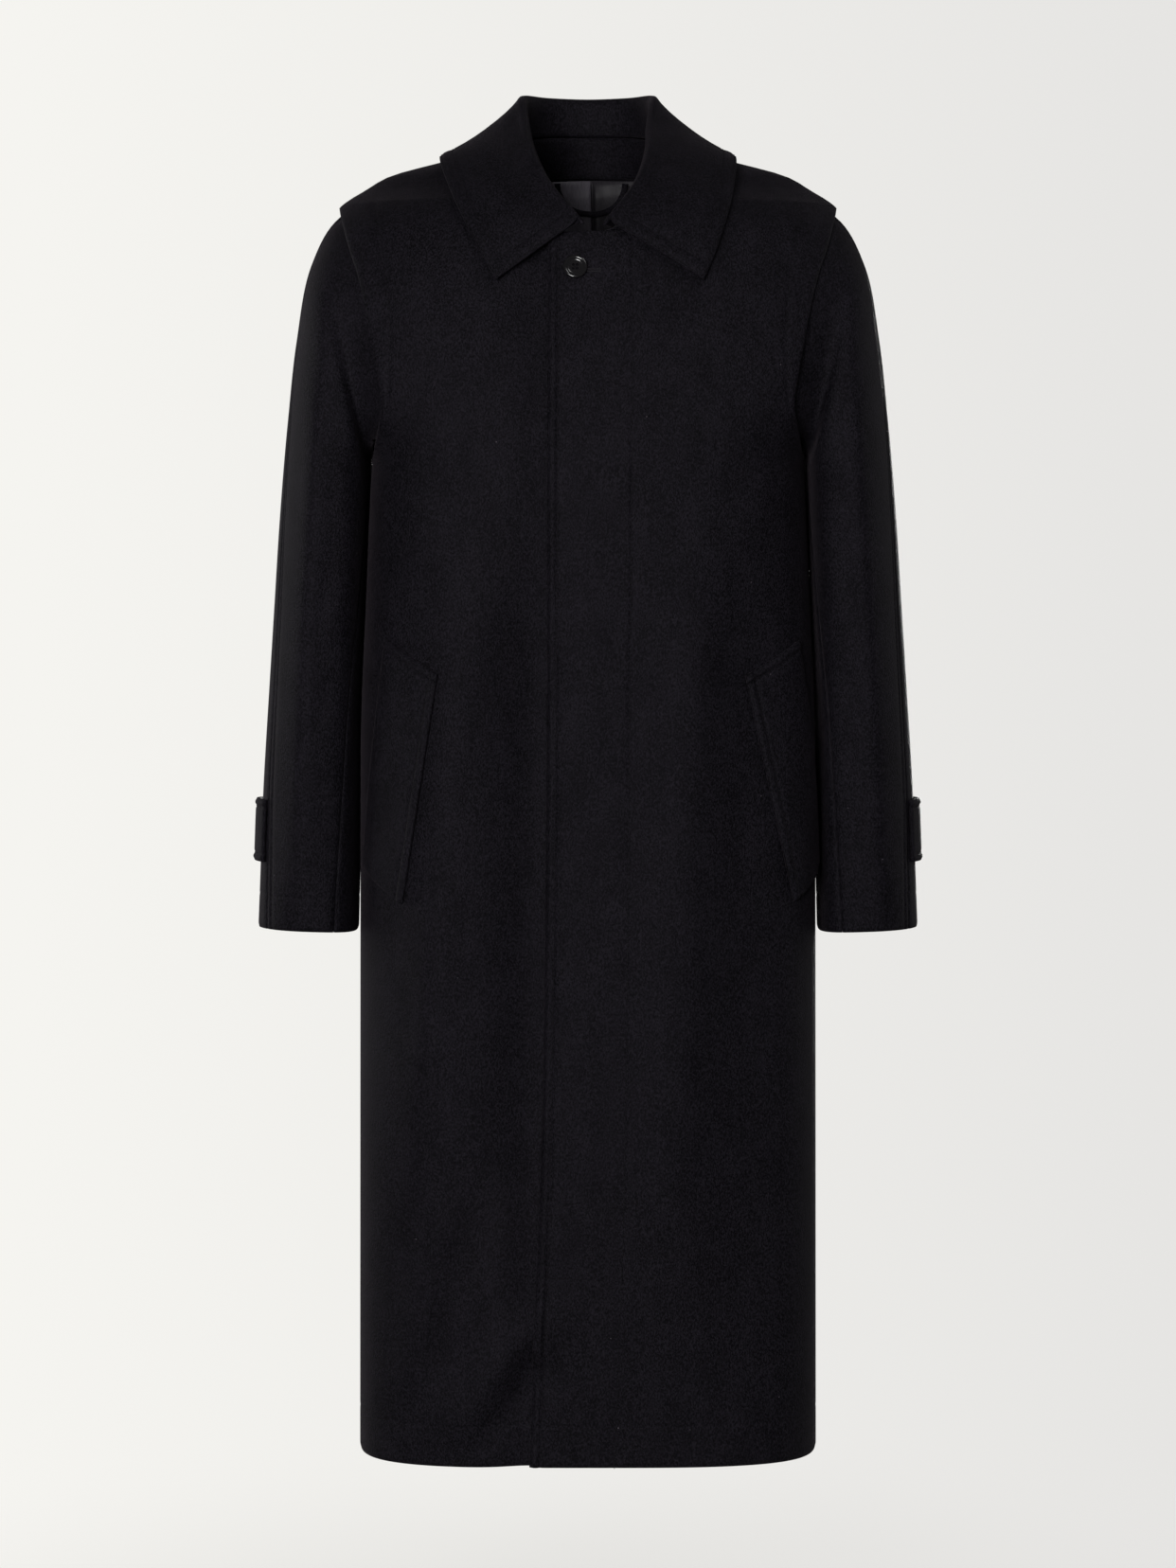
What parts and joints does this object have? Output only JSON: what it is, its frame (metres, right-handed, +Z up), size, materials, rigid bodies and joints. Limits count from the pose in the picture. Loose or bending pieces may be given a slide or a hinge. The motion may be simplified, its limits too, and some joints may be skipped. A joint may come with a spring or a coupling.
{
  "type": "loden coat",
  "caption": "Knee-length wool coat filled out as worn, with a turn-down collar, hidden front fly, overhanging shoulder edge, slanted welt pockets and sleeve tabs.",
  "frame": {"origin": "middle plane of the coat, level with the top of the shoulder seams at the neck, where the shoulders carry it", "axes": "+X towards the wearer's left, the front faces -Y, +Z up"},
  "size_m": [0.6064, 0.2656, 1.2267],
  "materials": {
    "loden_wool": "felted, matt, near-black navy",
    "lining_satin": "woven satin, soft sheen, near-black grey",
    "black_button": "turned and polished, black"
  },
  "bodies": {
    "root": {"front_left": "loden_wool", "front_right": "loden_wool", "back": "loden_wool", "sleeve_left_front": "loden_wool", "sleeve_left_back": "loden_wool", "sleeve_right_front": "loden_wool", "sleeve_right_back": "loden_wool", "collar": "loden_wool", "back_neck_facing": "loden_wool", "lining_left": "lining_satin", "lining_right": "lining_satin", "hanger_loop": "loden_wool", "pocket_welt_left": "loden_wool", "pocket_welt_right": "loden_wool", "sleeve_tab_left": "loden_wool", "sleeve_tab_right": "loden_wool", "neck_button": "black_button", "tab_button_left": "black_button", "tab_button_right": "black_button"}
  },
  "joints": []
}
